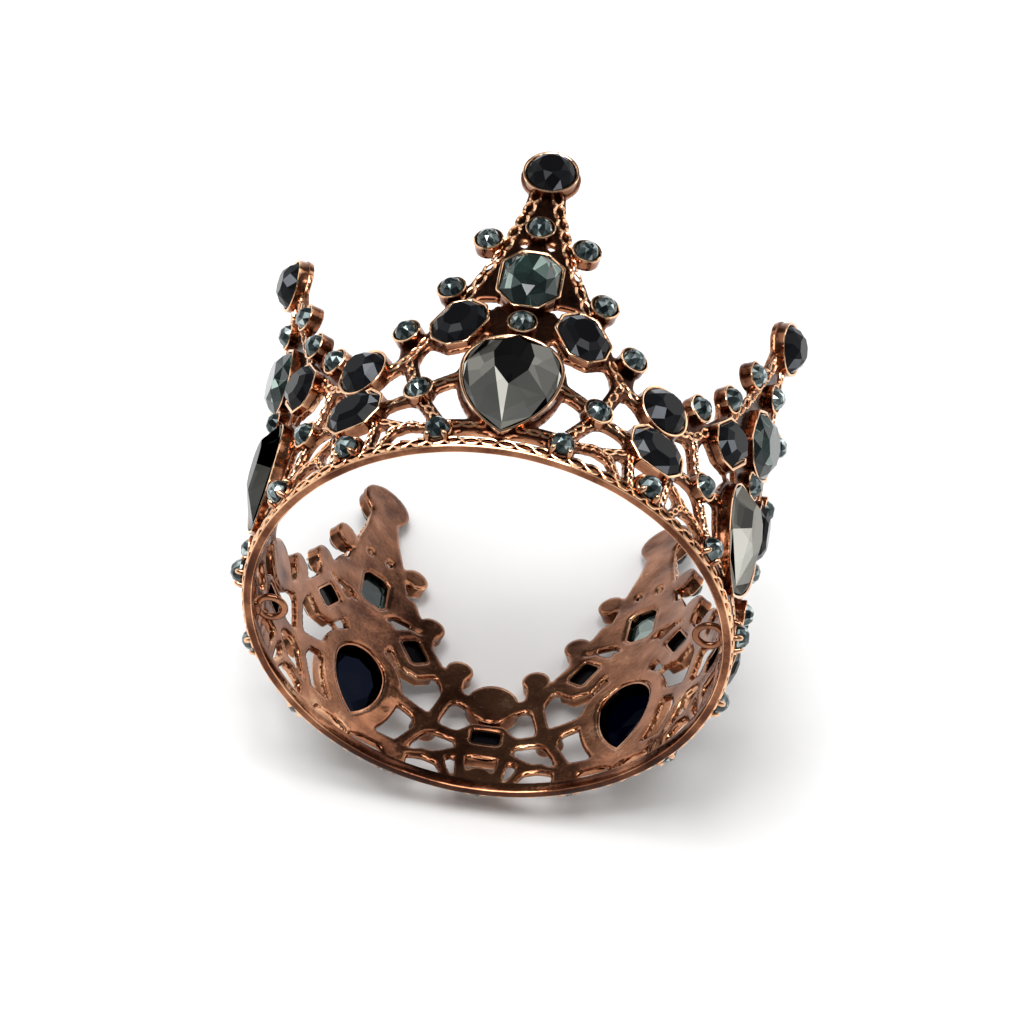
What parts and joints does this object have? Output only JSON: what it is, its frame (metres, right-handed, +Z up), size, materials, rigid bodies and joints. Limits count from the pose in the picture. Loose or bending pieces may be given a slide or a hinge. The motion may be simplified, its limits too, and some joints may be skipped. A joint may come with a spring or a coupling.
{
  "type": "mini crown",
  "caption": "Small cast open-work crown with pointed peaks, set with faceted stones, with a round base ring and inner eyelets for a comb or pins.",
  "frame": {"origin": "centre of the crown's outline, on the surface it lies on", "axes": "+Z up from the surface, -Y the way the base ring opens, +X to the right seen from the base"},
  "size_m": [0.078, 0.063, 0.0741],
  "materials": {
    "antique_copper": "antique copper plating on cast alloy: satin, bright on rims and edges, dark brown in the recesses",
    "black_stone": "polished black cut glass",
    "teal_stone": "polished grey-green cut glass, see-through",
    "mirror_grey_stone": "polished cut glass with a mirror back, dark table",
    "grey_stone": "polished grey cut glass, foiled back"
  },
  "bodies": {
    "root": {"frame": "antique_copper", "tip_stone_1": "black_stone", "tip_stone_2": "black_stone", "tip_stone_3": "black_stone", "tip_stone_4": "black_stone", "tip_stone_5": "black_stone", "peak_stone_1": "teal_stone", "peak_stone_2": "teal_stone", "peak_stone_3": "teal_stone", "peak_stone_4": "teal_stone", "peak_stone_5": "teal_stone", "pear_stone_1": "mirror_grey_stone", "pear_stone_2": "mirror_grey_stone", "pear_stone_3": "mirror_grey_stone", "pear_stone_4": "mirror_grey_stone", "pear_stone_5": "mirror_grey_stone", "valley_stone_1": "black_stone", "valley_stone_2": "black_stone", "valley_stone_3": "black_stone", "valley_stone_4": "black_stone", "valley_stone_5": "black_stone", "under_stone_1": "black_stone", "under_stone_2": "black_stone", "under_stone_3": "black_stone", "under_stone_4": "black_stone", "under_stone_5": "black_stone", "slope_stone_1": "black_stone", "slope_stone_2": "black_stone", "slope_stone_3": "black_stone", "slope_stone_4": "black_stone", "slope_stone_5": "black_stone", "slope_stone_6": "black_stone", "slope_stone_7": "black_stone", "slope_stone_8": "black_stone", "slope_stone_9": "black_stone", "slope_stone_10": "black_stone", "small_stones": "grey_stone"}
  },
  "joints": []
}
